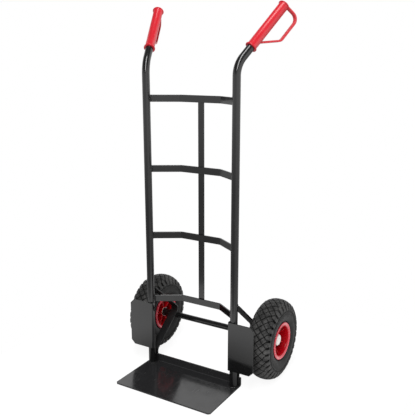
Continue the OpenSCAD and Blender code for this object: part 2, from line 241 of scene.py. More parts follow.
def add_piece(name, mesh, material, body, nodes, edge=0.0):
    """Makes a piece of a mesh, with its sharp edges softened by edge, in place of CAD nodes."""
    bmesh.ops.recalc_face_normals(mesh, faces=mesh.faces)
    data = bpy.data.meshes.new(name)
    mesh.to_mesh(data)
    mesh.free()
    data.materials.append(material)
    data.polygons.foreach_set("use_smooth", [True] * len(data.polygons))
    piece = bpy.data.objects.new(name, data)
    bpy.context.scene.collection.objects.link(piece)
    if edge:
        bevel = piece.modifiers.new("softened edges", "BEVEL")
        bevel.width = edge
        bevel.segments = 2
        bevel.limit_method = "ANGLE"
        bevel.angle_limit = math.radians(32)
        bevel.harden_normals = True
    else:
        data.set_sharp_from_angle(angle=math.radians(38))
    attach(piece, body)
    if nodes:
        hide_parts(*nodes)
    return piece


def mirrored(mesh):
    """A copy of a mesh of the right side, for the left side."""
    other = mesh.copy()
    bmesh.ops.scale(other, vec=(-1, 1, 1), verts=other.verts)
    return other


def add_both(name, mesh, material, nodes, edge=0.0):
    """Adds a piece of the frame on the right and its mirror image on the left."""
    left_nodes = ["left_" + node for node in nodes]
    right_nodes = ["right_" + node for node in nodes]
    add_piece("left_" + name, mirrored(mesh), material, "frame", left_nodes, edge)
    add_piece("right_" + name, mesh, material, "frame", right_nodes, edge)


tube = bmesh.new()
foot_ring = circle(tube, axes(tube_foot, UP, RIGHT), TUBE_RADIUS)
close(tube, foot_ring)
end_ring = draw_through(tube, foot_ring, [tube_foot, tube_corner, tube_end], BEND_RADIUS, 20)
close(tube, end_ring)
add_both("upright_tube", tube, frame_paint, ["upright"])

# ---------------------------------------------------------------------------
# Crossbars. Four flat steel bars, bent twice so that their middles stand back behind the tubes and a
# round load can nest between the uprights. Their ends are welded to the backs of the tubes.
# ---------------------------------------------------------------------------

BAR_THICKNESS = 0.005
BAR_FLAT = 0.146
BAR_BEND = 0.012
BAR_SEAT = 0.0033
BAR_RUN_IN = 0.003
BAR_WELD_SIZE = 0.0018
BAR_WELD_X = TUBE_X - 0.0112
BAR_WELD_FRONT = TUBE_Y + 0.0036
BAR_WELD_BACK = TUBE_Y + 0.0092
WELD_MARGIN = 0.002


def rectangle(mesh, matrix, width, height):
    """The edges of a rectangle."""
    made = bmesh.ops.create_grid(mesh, x_segments=1, y_segments=1, size=0.5, matrix=matrix)
    corners = made["verts"]
    edges = list({edge for vert in corners for edge in vert.link_edges})
    bmesh.ops.scale(mesh, vec=(width, height, 1), space=matrix.inverted(), verts=corners)
    faces = list({face for vert in corners for face in vert.link_faces})
    bmesh.ops.delete(mesh, geom=faces, context="FACES_ONLY")
    return edges


for number in range(1, 5):
    low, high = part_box(f"crossbar_{number}")
    height = high.z - low.z
    middle_z = (low.z + high.z) / 2
    end_y = TUBE_Y + BAR_SEAT + BAR_THICKNESS / 2
    bar_y = high.y - BAR_THICKNESS / 2
    slope = Vector((TUBE_X - BAR_FLAT / 2, end_y - bar_y, 0)).normalized()
    end = Vector((TUBE_X, end_y, middle_z)) - slope * BAR_RUN_IN
    line = [
        Vector((-end.x, end.y, middle_z)),
        Vector((-BAR_FLAT / 2, bar_y, middle_z)),
        Vector((BAR_FLAT / 2, bar_y, middle_z)),
        end,
    ]
    bar = bmesh.new()
    ring = rectangle(bar, axes(line[0], line[1] - line[0], UP), height, BAR_THICKNESS)
    close(bar, ring)
    ring = draw_through(bar, ring, line, BAR_BEND)
    close(bar, ring)
    add_piece(f"crossbar_{number}_bar", bar, frame_paint, "frame",
              [f"crossbar_{number}"], 0.0009)


def weld(mesh, points, size):
    """Lays a weld along a line of points, as a row of overlapping drops."""
    for start, end in zip(points, points[1:]):
        way = Vector(end) - Vector(start)
        drops = max(1, round(way.length / (0.8 * size)))
        for number in range(drops + 1):
            place = Matrix.Translation(Vector(start) + way * (number / drops))
            bmesh.ops.create_icosphere(mesh, subdivisions=2, radius=size, matrix=place)


bar_welds = bmesh.new()
for number in range(1, 5):
    low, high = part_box(f"crossbar_{number}")
    bottom = low.z + WELD_MARGIN
    top = high.z - WELD_MARGIN
    for x in (-BAR_WELD_X, BAR_WELD_X):
        for y in (BAR_WELD_FRONT, BAR_WELD_BACK):
            weld(bar_welds, [(x, y, bottom), (x, y, top)], BAR_WELD_SIZE)
add_piece("crossbar_welds", bar_welds, frame_paint, "frame", [])

# ---------------------------------------------------------------------------
# Centre strip. A narrow flat steel bar that runs up the middle of the frame, against the backs of the
# four crossbars. It is welded to each of them along both of its edges and painted with the frame.
# ---------------------------------------------------------------------------


def block(mesh, low, high):
    """A box from one corner to the other."""
    size = Vector(high) - Vector(low)
    matrix = Matrix.Translation((Vector(high) + Vector(low)) / 2) @ Matrix.Diagonal(size).to_4x4()
    return bmesh.ops.create_cube(mesh, size=1, matrix=matrix)["verts"]


STRIP_WELD_SIZE = 0.0017
STRIP_WELD_DEPTH = 0.0004

strip = bmesh.new()
block(strip, *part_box("centre_strip"))
add_piece("centre_strip_bar", strip, frame_paint, "frame", ["centre_strip"], 0.0008)

strip_low, strip_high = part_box("centre_strip")
strip_seam_y = strip_low.y + STRIP_WELD_DEPTH
strip_welds = bmesh.new()
for number in range(1, 5):
    low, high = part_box(f"crossbar_{number}")
    bottom = max(low.z, strip_low.z) + WELD_MARGIN
    top = min(high.z, strip_high.z) - WELD_MARGIN
    for x in (strip_low.x, strip_high.x):
        weld(strip_welds, [(x, strip_seam_y, bottom), (x, strip_seam_y, top)], STRIP_WELD_SIZE)
add_piece("centre_strip_welds", strip_welds, frame_paint, "frame", [])

# ---------------------------------------------------------------------------
# Toe plate. One steel plate that slides under the load, with its back edge folded up behind the tubes
# as a stiffening flange. The front corners are cut off, and the plate is painted like the frame.
# ---------------------------------------------------------------------------

TOE_CORNER = 0.006
FOOT_WELD_SIZE = 0.0026
FOOT_WELD_GAP = 0.0008
FOOT_WELD_ARC = range(-215, 40, 15)

# Painted reflection: the toe plate's black is lighter than the rest of the frame's, standing in for the
# bright room mirrored in the flat plate.
toe_paint_with_painted_reflection = black_paint("toe_plate_coat", 0.12, black=0.026, scratched=1.0)
toe_middle_z = toe_low.z + TOE_THICKNESS / 2
flange_y = toe_high.y - TOE_THICKNESS / 2
toe_width = toe_high.x - toe_low.x
toe = bmesh.new()
front = Vector((0, toe_low.y, toe_middle_z))
ring = rectangle(toe, axes(front, BACK, RIGHT), toe_width - 2 * TOE_CORNER, TOE_THICKNESS)
close(toe, ring)
ring = run(toe, ring, BACK * TOE_CORNER)
ring_verts = list({vert for edge in ring for vert in edge.verts})
bmesh.ops.scale(toe, vec=(toe_width / (toe_width - 2 * TOE_CORNER), 1, 1), verts=ring_verts)
line = [
    front + BACK * TOE_CORNER,
    Vector((0, flange_y, toe_middle_z)),
    Vector((0, flange_y, toe_high.z)),
]
ring = draw_through(toe, ring, line, TOE_THICKNESS)
close(toe, ring)
add_piece("toe_plate_sheet", toe, toe_paint_with_painted_reflection, "frame", ["toe_plate"], 0.0007)

foot_welds = bmesh.new()
foot_centre = Vector((TUBE_X, TUBE_Y, toe_low.z + TOE_THICKNESS + FOOT_WELD_GAP))
round_foot = []
for degrees in FOOT_WELD_ARC:
    angle = math.radians(degrees)
    way = RIGHT * math.cos(angle) + BACK * math.sin(angle)
    round_foot.append(foot_centre + way * (TUBE_RADIUS + FOOT_WELD_GAP))
weld(foot_welds, round_foot, FOOT_WELD_SIZE)
add_both("foot_welds", foot_welds, frame_paint, [])

# ---------------------------------------------------------------------------
# Wheel guards. A sheet steel plate on the front of each tube keeps the load off the tyre. Its inner edge
# is folded back along the tube, and the outer corners are cut off.
# ---------------------------------------------------------------------------

GUARD_CORNER = 0.014
GUARD_FOLD = 0.003
GUARD_WELD_SIZE = 0.0020
GUARD_WELD_HALF = 0.010
GUARD_INNER_SEAM = (TUBE_X - TUBE_RADIUS, guard_high.y + 0.0008)
GUARD_OUTER_SEAM = (TUBE_X + 0.0045, TUBE_Y - 0.0112)

guard = bmesh.new()
middle_y = guard_low.y + GUARD_THICKNESS / 2
fold_x = guard_low.x + GUARD_THICKNESS / 2
middle_z = (guard_low.z + guard_high.z) / 2
height = guard_high.z - guard_low.z
start = Vector((guard_high.x, middle_y, middle_z))
ring = rectangle(guard, axes(start, -RIGHT, UP), height, GUARD_THICKNESS)
verts = list({vert for edge in ring for vert in edge.verts})
narrow = (1, 1, (height - 2 * GUARD_CORNER) / height)
about_middle = Matrix.Translation((0, 0, -middle_z))
bmesh.ops.scale(guard, vec=narrow, space=about_middle, verts=verts)
close(guard, ring)
ring = run(guard, ring, -RIGHT * GUARD_CORNER)
verts = list({vert for edge in ring for vert in edge.verts})
bmesh.ops.scale(guard, vec=(1, 1, 1 / narrow[2]), space=about_middle, verts=verts)
line = [
    start - RIGHT * GUARD_CORNER,
    Vector((fold_x, middle_y, middle_z)),
    Vector((fold_x, guard_high.y, middle_z)),
]
ring = draw_through(guard, ring, line, GUARD_FOLD)
close(guard, ring)
guard_paint = black_paint("wheel_guard_coat", 0.06)
add_both("guard_plate", guard, guard_paint, ["wheel_guard"], 0.0006)

guard_welds = bmesh.new()
for share in (0.2, 0.5, 0.8):
    bottom = guard_low.z + share * height - GUARD_WELD_HALF
    top = guard_low.z + share * height + GUARD_WELD_HALF
    for x, y in (GUARD_INNER_SEAM, GUARD_OUTER_SEAM):
        weld(guard_welds, [(x, y, bottom), (x, y, top)], GUARD_WELD_SIZE)
add_both("guard_welds", guard_welds, frame_paint, [])

# ---------------------------------------------------------------------------
# Axle brackets. A flat strap, bent round a nose, leaves each tube above the wheel, passes over the axle
# and comes back to the tube's foot. It is welded to the tube at both ends and to the axle at the nose.
# ---------------------------------------------------------------------------

STRAP_THICKNESS = 0.0045
STRAP_BEND = 0.016
STRAP_HEAD_Y = TUBE_Y + 0.008
STRAP_HEAD_Z = 0.275
STRAP_NOSE_Y = TUBE_Y + 0.147
STRAP_NOSE_Z = 0.1555
STRAP_TAIL_Z = 0.049
HEAD_WELD_SIZE = 0.0019
HEAD_WELD_ARC = range(-75, 76, 15)
TAIL_WELD_SIZE = 0.0020
TAIL_WELD_SPREAD = 0.0055
TAIL_WELD_Y = TUBE_Y + 0.0114
TAIL_WELD_BOTTOM = 0.010
TAIL_WELD_TOP = 0.040

strap_low, strap_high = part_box("right_axle_bracket")
strap_width = strap_high.x - strap_low.x
tail_y = TUBE_Y + TUBE_RADIUS + STRAP_THICKNESS / 2
line = [
    Vector((TUBE_X, STRAP_HEAD_Y, STRAP_HEAD_Z)),
    Vector((TUBE_X, STRAP_NOSE_Y, STRAP_NOSE_Z)),
    Vector((TUBE_X, tail_y, STRAP_TAIL_Z)),
    Vector((TUBE_X, tail_y, strap_low.z)),
]
upper_arm = (line[1] - line[0]).normalized()
lower_arm = (line[2] - line[1]).normalized()
strap = bmesh.new()
ring = rectangle(strap, axes(line[0], line[1] - line[0], RIGHT), strap_width, STRAP_THICKNESS)
close(strap, ring)
ring = draw_through(strap, ring, line, STRAP_BEND)
close(strap, ring)
strap_paint = black_paint("axle_strap_coat", 0.46, coat=0.0)
add_both("axle_strap", strap, strap_paint, ["axle_bracket"], 0.0008)

strap_welds = bmesh.new()
over_arm = upper_arm.cross(RIGHT)
if over_arm.z < 0:
    over_arm = -over_arm
for face in (1, -1):
    start = line[0] + over_arm * (face * STRAP_THICKNESS / 2)
    round_tube = []
    for degrees in HEAD_WELD_ARC:
        angle = math.radians(degrees)
        y = TUBE_Y + TUBE_RADIUS * math.cos(angle)
        z = start.z + (y - start.y) * upper_arm.z / upper_arm.y
        round_tube.append((TUBE_X + TUBE_RADIUS * math.sin(angle), y, z))
    weld(strap_welds, round_tube, HEAD_WELD_SIZE)
for x in (TUBE_X - TAIL_WELD_SPREAD, TUBE_X + TAIL_WELD_SPREAD):
    weld(strap_welds, [(x, TAIL_WELD_Y, TAIL_WELD_BOTTOM), (x, TAIL_WELD_Y, TAIL_WELD_TOP)], TAIL_WELD_SIZE)
add_both("strap_welds", strap_welds, frame_paint, [])

# ---------------------------------------------------------------------------
# Axle. A solid steel bar across the truck, welded into both brackets. A washer and a cotter pin outside
# each hub keep the wheel on, and a spacer and a washer hold it off the bracket.
# ---------------------------------------------------------------------------

AXLE_CHAMFER = 0.001
AXLE_WELD_SIZE = 0.0024
AXLE_WELD_GAP = 0.0003
AXLE_WELD_TURN = math.radians(38)
SPACER_CHAMFER = 0.0006
SPACER_CLEARANCE = 0.0001

wheel_joint = next(joint for joint in frame["joints"] if joint["name"] == "right_wheel_spin")
WHEEL_CENTRE = Vector(wheel_joint["pos_m"])
axle_low, axle_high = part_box("axle")
axle_radius = (axle_high.z - axle_low.z) / 2


def lathe(mesh, points, origin, heading, steps=64):
    """Turns an outline of (distance along the heading, radius) pairs about the heading."""
    matrix = axes(origin, heading, UP)
    verts = [mesh.verts.new(matrix @ Vector((radius, 0, along))) for along, radius in points]
    edges = [mesh.edges.new(pair) for pair in zip(verts, verts[1:])]
    bmesh.ops.spin(mesh, geom=verts + edges, cent=origin, axis=Vector(heading).normalized(),
                   angle=2 * math.pi, steps=steps, use_merge=True)
    doubles = [vert for vert in mesh.verts if vert.is_valid]
    bmesh.ops.remove_doubles(mesh, verts=doubles, dist=1e-6)


end = axle_high.x
axle_middle = Vector((0, WHEEL_CENTRE.y, WHEEL_CENTRE.z))
half_axle = [(end - AXLE_CHAMFER, axle_radius), (end, axle_radius - AXLE_CHAMFER), (end, 0)]
outline = [(-along, radius) for along, radius in reversed(half_axle)] + half_axle
axle = bmesh.new()
lathe(axle, outline, axle_middle, RIGHT)
axle_paint = black_paint("axle_coat", 0.2)
add_piece("axle_bar", axle, axle_paint, "frame", ["axle"])

towards_arm = RIGHT.cross(lower_arm)
if towards_arm.z < 0:
    towards_arm = -towards_arm
axle_welds = bmesh.new()
for turn in (-AXLE_WELD_TURN, AXLE_WELD_TURN):
    way = Matrix.Rotation(turn, 3, "X") @ towards_arm
    seam = axle_middle + way * (axle_radius + AXLE_WELD_GAP)
    seam_start = (strap_low.x + WELD_MARGIN, seam.y, seam.z)
    seam_end = (strap_high.x - WELD_MARGIN, seam.y, seam.z)
    weld(axle_welds, [seam_start, seam_end], AXLE_WELD_SIZE)
add_both("axle_welds", axle_welds, axle_paint, [])

dark_steel = black_paint("dark_steel_sleeve", 0.35)
spacer_low, spacer_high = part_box("right_axle_spacer")
spacer = bmesh.new()
spacer_radius = (spacer_high.z - spacer_low.z) / 2
spacer_length = spacer_high.x - spacer_low.x
spacer_start = Vector((spacer_low.x, WHEEL_CENTRE.y, WHEEL_CENTRE.z))
spacer_bore = axle_radius + SPACER_CLEARANCE
outline = [
    (0, spacer_bore), (0, spacer_radius - SPACER_CHAMFER), (SPACER_CHAMFER, spacer_radius),
    (spacer_length - SPACER_CHAMFER, spacer_radius), (spacer_length, spacer_radius - SPACER_CHAMFER),
    (spacer_length, spacer_bore), (0, spacer_bore),
]
lathe(spacer, outline, spacer_start, RIGHT)
add_both("spacer_sleeve", spacer, dark_steel, ["axle_spacer"])


def zinc_plate(name, tint):
    """Zinc plate: bright grey steel with a faint crystal pattern and dull fingermarks."""
    zinc = new_finish(name)
    crystals = zinc.noise(0.0012, 3.0)
    marks = zinc.noise(0.006, 3.0).between(0.45, 0.7)
    bright = (tint, tint, tint * 1.03, 1)
    marked = (tint * 0.6, tint * 0.58, tint * 0.55, 1)
    return zinc.surface(
        Base_Color=zinc.mix(marks * 0.5, bright, marked),
        Metallic=1.0,
        Roughness=0.28 + 0.15 * marks + 0.08 * crystals,
        Normal=zinc.bump(crystals, 0.00004),
    )


def dress(part, material):
    """Gives a material to a CAD part of both sides."""
    for side in ("left", "right"):
        for place in frame["nodes"][f"{side}_{part}"].material_slots:
            place.material = material


dull_zinc = zinc_plate("dull_zinc_plate", 0.16)
for part in ("inner_washer", "outer_washer", "cotter_pin"):
    dress(part, dull_zinc)

# ---------------------------------------------------------------------------
# Grips. Red plastic sleeves pushed over the tube ends, with a rolled collar at both ends and a hand
# guard moulded on below: a strip that leaves the sleeve, runs along it and comes back at the top.
# ---------------------------------------------------------------------------

GRIP_RADIUS = 0.01475
COLLAR_RADIUS = 0.01775
COLLAR_HEIGHT = 0.004
LOOP_TWIST = math.radians(7)
LOOP_WIDTH = 0.012
LOOP_THICKNESS = 0.006
LOOP_BEND = 0.020
LOOP_ROOT = 0.0135
LOOP_REACH = 0.0605
LOOP_LOW_ROOT = 0.034
LOOP_LOW_CORNER = 0.091
LOOP_HIGH_CORNER = 0.1835
LOOP_HIGH_ROOT = 0.177

red_grip = new_finish("red_grip_plastic")
sheen = red_grip.noise(0.004, 2.0)
rubbed = red_grip.noise(0.02, 4.0).between(0.45, 0.75)
grip_colour = red_grip.mix(rubbed * 0.35, (0.64, 0.013, 0.026, 1), (0.70, 0.022, 0.036, 1))
grip_material = red_grip.surface(
    Base_Color=grip_colour,
    Roughness=0.30 + 0.08 * rubbed + 0.04 * sheen,
    Specular_IOR_Level=0.6,
    Normal=red_grip.bump(sheen, 0.00001),
)

loop_down = handle_lean * math.cos(HANDLE_TILT) - UP * math.sin(HANDLE_TILT)
outwards = loop_down.cross(handle_axis)
if outwards.x < 0:
    outwards = -outwards
loop_way = loop_down * math.cos(LOOP_TWIST) + outwards * math.sin(LOOP_TWIST)
loop_side = loop_way.cross(handle_axis)

grip = bmesh.new()
end = GRIP_LENGTH
outline = [
    (0, TUBE_RADIUS), (0, COLLAR_RADIUS - 0.001), (0.0004, COLLAR_RADIUS - 0.0003),
    (0.001, COLLAR_RADIUS), (COLLAR_HEIGHT - 0.001, COLLAR_RADIUS),
    (COLLAR_HEIGHT - 0.0003, COLLAR_RADIUS - 0.0004), (COLLAR_HEIGHT, COLLAR_RADIUS - 0.001),
    (COLLAR_HEIGHT + 0.0006, GRIP_RADIUS + 0.0006), (COLLAR_HEIGHT + 0.002, GRIP_RADIUS),
    (end - COLLAR_HEIGHT - 0.002, GRIP_RADIUS), (end - COLLAR_HEIGHT - 0.0006, GRIP_RADIUS + 0.0006),
    (end - COLLAR_HEIGHT, COLLAR_RADIUS - 0.001), (end - COLLAR_HEIGHT + 0.0003, COLLAR_RADIUS - 0.0004),
    (end - COLLAR_HEIGHT + 0.001, COLLAR_RADIUS), (end - 0.0022, COLLAR_RADIUS),
    (end - 0.0010, COLLAR_RADIUS - 0.0008), (end - 0.0004, COLLAR_RADIUS - 0.0025),
    (end, COLLAR_RADIUS - 0.007), (end, 0),
]
lathe(grip, outline, grip_start, handle_axis, 56)


def on_loop(out, along):
    """The point so far out from the grip's axis and so far along it."""
    return grip_start + handle_axis * along + loop_way * out


line = [
    on_loop(LOOP_ROOT, LOOP_LOW_ROOT),
    on_loop(LOOP_REACH, LOOP_LOW_CORNER),
    on_loop(LOOP_REACH, LOOP_HIGH_CORNER),
    on_loop(LOOP_ROOT, LOOP_HIGH_ROOT),
]
loop = bmesh.new()
ring = rectangle(loop, axes(line[0], line[1] - line[0], loop_side), LOOP_WIDTH, LOOP_THICKNESS)
close(loop, ring)
ring = draw_through(loop, ring, line, LOOP_BEND, 10)
close(loop, ring)
add_both("grip_sleeve", grip, grip_material, ["grip"])
add_both("hand_guard", loop, grip_material, [], 0.0012)

# ---------------------------------------------------------------------------
# Tyres. Pneumatic rubber tyres with a carcass that bulges past the rim, a side wall with a moulded
# ring, and a tread of staggered square blocks that ends in a row of lugs on each shoulder.
# ---------------------------------------------------------------------------

LEFT_WHEEL_TURN = math.radians(18)
TYRE_RADIUS = WHEEL_CENTRE.z
tyre_low, tyre_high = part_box("right_tyre")
SECTION = (tyre_high.x - tyre_low.x) / 2
CORE = TYRE_RADIUS - SECTION
SHOULDER_FULLNESS = 0.06
TREAD_DEPTH = 0.0036
PITCHES = 33
FIRST_BLOCK_TURN = math.radians(-31.9)
ROW_STEP = 0.0124
BLOCK_SIZE = 0.0073
BLOCK_EDGE = 0.0006
BLOCK_INSET = 0.0008
LUG_DEPTH = 0.0042
LUG_ROW = 0.0437
LUG_SIZE = 0.0076
LUG_WIDTH = 1.3
LUG_LENGTH = 1.02
LUG_SQUARE = 0.004
LUG_POINT = 0.0085
LUG_POINT_SLOPE = 1.05
LUG_RISE = 0.0012
BURIED = 0.001
SIDE_CLEARANCE = 0.0003
# Radii from the axle over which the painted shade of the tread grooves fades in.
GROOVE_SHADE_FADE = (0.1066, 0.1076)


def add_wheels(name, mesh, material, nodes):
    """Adds a piece on the right wheel, and its mirror image on the left one, which stands further round."""
    other = mirrored(mesh)
    turn = Matrix.Rotation(LEFT_WHEEL_TURN, 3, "X")
    bmesh.ops.rotate(other, verts=other.verts, cent=WHEEL_CENTRE, matrix=turn)
    left_nodes = ["left_" + node for node in nodes]
    right_nodes = ["right_" + node for node in nodes]
    add_piece("left_" + name, other, material, "left_wheel", left_nodes)
    add_piece("right_" + name, mesh, material, "right_wheel", right_nodes)


def from_axle(finish):
    """The point's distance from the line of the axle."""
    place = finish.place()
    y = finish.node("ShaderNodeSeparateXYZ", {}, [place], "Y") - WHEEL_CENTRE.y
    z = finish.node("ShaderNodeSeparateXYZ", {}, [place], "Z") - WHEEL_CENTRE.z
    return (y * y + z * z) ** 0.5


def rubber(name, dark, light, roughness, groove_shade_weight=0.0):
    """Moulded rubber with a fine grain and a dusty bloom. Its last argument paints near-black shade on the
    floor of the tread, as painted shade in the grooves.
    """
    compound = new_finish(name)
    bloom = compound.noise(0.03, 4.0).between(0.4, 0.7)
    grain = compound.noise(0.0012, 3.0)
    scuffs = compound.noise(0.006, 4.0).between(0.42, 0.65)
    clean = (dark, dark, dark, 1)
    dusty = (light, light * 0.98, light * 0.96, 1)
    tone = compound.mix(bloom * 0.6 + 0.4 * scuffs, clean, dusty)
    # Painted shade: beyond the groove radius the colour turns near black, standing in for the shade down in
    # the tread grooves.
    painted_groove_shade = from_axle(compound).between(*GROOVE_SHADE_FADE) * groove_shade_weight
    return compound.surface(
        Base_Color=compound.mix(painted_groove_shade, tone, (0.007, 0.007, 0.007, 1)),
        Roughness=roughness + 0.12 * bloom,
        Specular_IOR_Level=0.22,
        Normal=compound.bump(grain, 0.00008),
    )


wall_rubber = rubber("tyre_wall_rubber", 0.006, 0.016, 0.50, groove_shade_weight=1.0)
tread_rubber = rubber("tyre_tread_rubber", 0.024, 0.095, 0.50)


def on_section(angle, inset):
    """The (along the axle, from the axle) pair at an angle from the crown, so far inside the tread's face."""
    reach = SECTION * (1 + SHOULDER_FULLNESS * math.sin(2 * angle) ** 2) - inset
    return reach * math.sin(angle), CORE + reach * math.cos(angle)


tread_floor = [on_section(math.radians(degrees), TREAD_DEPTH) for degrees in (0, 8, 16, 24, 32, 40)]
tread_floor += [on_section(math.radians(degrees), LUG_DEPTH) for degrees in (46, 52, 58, 64, 69)]
side_wall = [
    (0.0382, 0.1068), (0.0391, 0.1050), (0.0395, 0.1020), (0.0397, 0.0992), (0.0384, 0.0984),
    (0.0384, 0.0966), (0.0398, 0.0956), (0.0402, 0.0942), (0.0399, 0.0929), (0.0392, 0.0919),
    (0.0396, 0.0895), (0.0399, 0.0860), (0.0398, 0.0820), (0.0392, 0.0775), (0.0381, 0.0735),
    (0.0368, 0.0700), (0.0358, 0.0676), (0.0350, 0.0660), (0.0334, 0.0648), (0.0305, 0.0640),
    (0.0290, 0.0520),
]
half_outline = tread_floor + side_wall
outline = [(-along, radius) for along, radius in reversed(half_outline[1:])] + half_outline
carcass = bmesh.new()
lathe(carcass, outline, WHEEL_CENTRE, RIGHT, 132)


def raise_block(mesh, verts, height):
    """Raises a patch into a block with a softened top edge."""
    faces = list({face for vert in verts for face in vert.link_faces})
    raised = bmesh.ops.extrude_face_region(mesh, geom=faces)["geom"]
    top = [item for item in raised if isinstance(item, bmesh.types.BMVert)]
    bmesh.ops.translate(mesh, verts=top, vec=(0, 0, height - BLOCK_EDGE))
    bmesh.ops.delete(mesh, geom=faces, context="FACES_ONLY")
    caps = [item for item in raised if isinstance(item, bmesh.types.BMFace)]
    bmesh.ops.inset_region(mesh, faces=caps, thickness=BLOCK_INSET, depth=BLOCK_EDGE, use_even_offset=True)


def tread_pitch(length):
    """One pitch of the tread, drawn flat with X across the tyre and Y along it, blocks standing on Z."""
    mesh = bmesh.new()
    places = [(0.0, 0.0)]
    for side in (-1, 1):
        places += [(side * ROW_STEP, 0.5), (side * 2 * ROW_STEP, 0.0)]
    for across, phase in places:
        turned = Matrix.Translation((across, phase * length, 0)) @ Matrix.Rotation(math.pi / 4, 4, "Z")
        made = bmesh.ops.create_grid(mesh, x_segments=3, y_segments=3, size=BLOCK_SIZE, matrix=turned)
        raise_block(mesh, made["verts"], TREAD_DEPTH)
    half_way = 0.5 * length
    for side in (-1, 1):
        stretched = Matrix.Diagonal((LUG_WIDTH, LUG_LENGTH, 1, 1))
        place = Matrix.Translation((side * LUG_ROW, half_way, 0)) @ stretched
        made = bmesh.ops.create_grid(mesh, x_segments=5, y_segments=3, size=LUG_SIZE, matrix=place)
        for vert in made["verts"]:
            inwards = LUG_ROW - side * vert.co.x
            if inwards > LUG_SQUARE:
                vert.co.x -= side * (LUG_POINT - LUG_POINT_SLOPE * abs(vert.co.y - half_way))
        raise_block(mesh, made["verts"], TREAD_DEPTH + LUG_RISE)
    return mesh


def wrap_tread(mesh):
    """Wraps the flat tread round the carcass. Its lowest edges go under the carcass."""
    for vert in mesh.verts:
        across, along, height = vert.co
        inset = TREAD_DEPTH - height if height > 0 else LUG_DEPTH + BURIED
        x, radius = on_section(across / SECTION, inset)
        x = max(SIDE_CLEARANCE - SECTION, min(SECTION - SIDE_CLEARANCE, x))
        turn = along / TYRE_RADIUS
        vert.co = WHEEL_CENTRE + Vector((x, -radius * math.cos(turn), radius * math.sin(turn)))


tread = tread_pitch(2 * math.pi * TYRE_RADIUS / PITCHES)
wrap_tread(tread)
first_turn = Matrix.Rotation(FIRST_BLOCK_TURN, 3, "X")
bmesh.ops.rotate(tread, verts=tread.verts, cent=WHEEL_CENTRE, matrix=first_turn)
pitch = tread.verts[:] + tread.edges[:] + tread.faces[:]
last_turn = 2 * math.pi * (PITCHES - 1) / PITCHES
bmesh.ops.spin(tread, geom=pitch, cent=WHEEL_CENTRE, axis=RIGHT, angle=last_turn, steps=PITCHES - 1,
               use_duplicate=True)
add_wheels("tyre_carcass", carcass, wall_rubber, ["tyre"])
add_wheels("tyre_tread", tread, tread_rubber, [])

# ---------------------------------------------------------------------------
# Inner tubes and valves. A butyl tube inside each tyre, with a rubber valve that comes out through the
# outer half of the rim and carries a black screw cap.
# ---------------------------------------------------------------------------

tube_material = rubber("tube_rubber_black", 0.008, 0.016, 0.55)
dress("inner_tube", tube_material)
dress("valve", tube_material)
dress("valve_cap", rubber("valve_cap_black", 0.006, 0.014, 0.38))

# ---------------------------------------------------------------------------
# Rims. Two red plastic shells bolted together web to web. Each has a rounded flange that holds the bead,
# a deep dish with six radial ribs, three bolt bosses and a hub.
# ---------------------------------------------------------------------------

rim_low, rim_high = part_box("right_rim_outer")
FLANGE_RADIUS = (rim_high.z - rim_low.z) / 2
RIM_FACE = rim_high.x - WHEEL_CENTRE.x
HUB_RADIUS = 0.017
BUSH_RADIUS = 0.013
BARREL_RADIUS = 0.047
BARREL_OUTSIDE = 0.051
WEB = 0.0035
RIBS = 6
RIB_THICKNESS = 0.0035
RIB_EDGE = 0.0007
RIB_OVERLAP = 0.001
BOLT_ANGLES = (30, 150, 270)
BOLT_CIRCLE = 0.032
BOLT_HOLE = 0.0032
BOSS_RADIUS = 0.007
BOSS_HEIGHT = 0.0070
BOSS_FILLET = 0.0012
BOSS_FOOT = 0.001
FLANGE_HIGHLIGHT_FADE = (0.0480, 0.0530)

red_rim = new_finish("red_rim_plastic")
# Marks the flange ring, which gets a real clear gloss and also a painted highlight in its colour.
flange_gloss_and_painted_highlight = from_axle(red_rim).between(*FLANGE_HIGHLIGHT_FADE)
flow = red_rim.noise(0.012, 3.0)
grime = red_rim.noise(0.006, 5.0).between(0.5, 0.85)
dish_colour = red_rim.mix(grime * 0.3 + 0.15 * flow, (0.46, 0.003, 0.009, 1), (0.32, 0.002, 0.006, 1))
# Painted highlight: the flange ring is coloured a lighter pink than the dish's own deep red, standing in for
# the glossy highlight along it.
rim_colour_with_painted_highlight = red_rim.mix(flange_gloss_and_painted_highlight, dish_colour, (0.72, 0.050, 0.080, 1))
rim_material = red_rim.surface(
    Base_Color=rim_colour_with_painted_highlight,
    Roughness=0.22 + 0.10 * grime + 0.04 * flow,
    Specular_IOR_Level=0.10,
    Coat_Weight=0.06 + 0.94 * flange_gloss_and_painted_highlight,
    Coat_Roughness=0.16,
    Normal=red_rim.bump(flow, 0.00003),
)


def spoke(degrees):
    """The direction from the axle, at an angle from straight down towards the back."""
    angle = math.radians(degrees)
    return BACK * math.sin(angle) - UP * math.cos(angle)


def join(mesh, other):
    """Moves a second mesh into the first."""
    data = bpy.data.meshes.new("joining")
    other.to_mesh(data)
    mesh.from_mesh(data)
    bpy.data.meshes.remove(data)
    other.free()


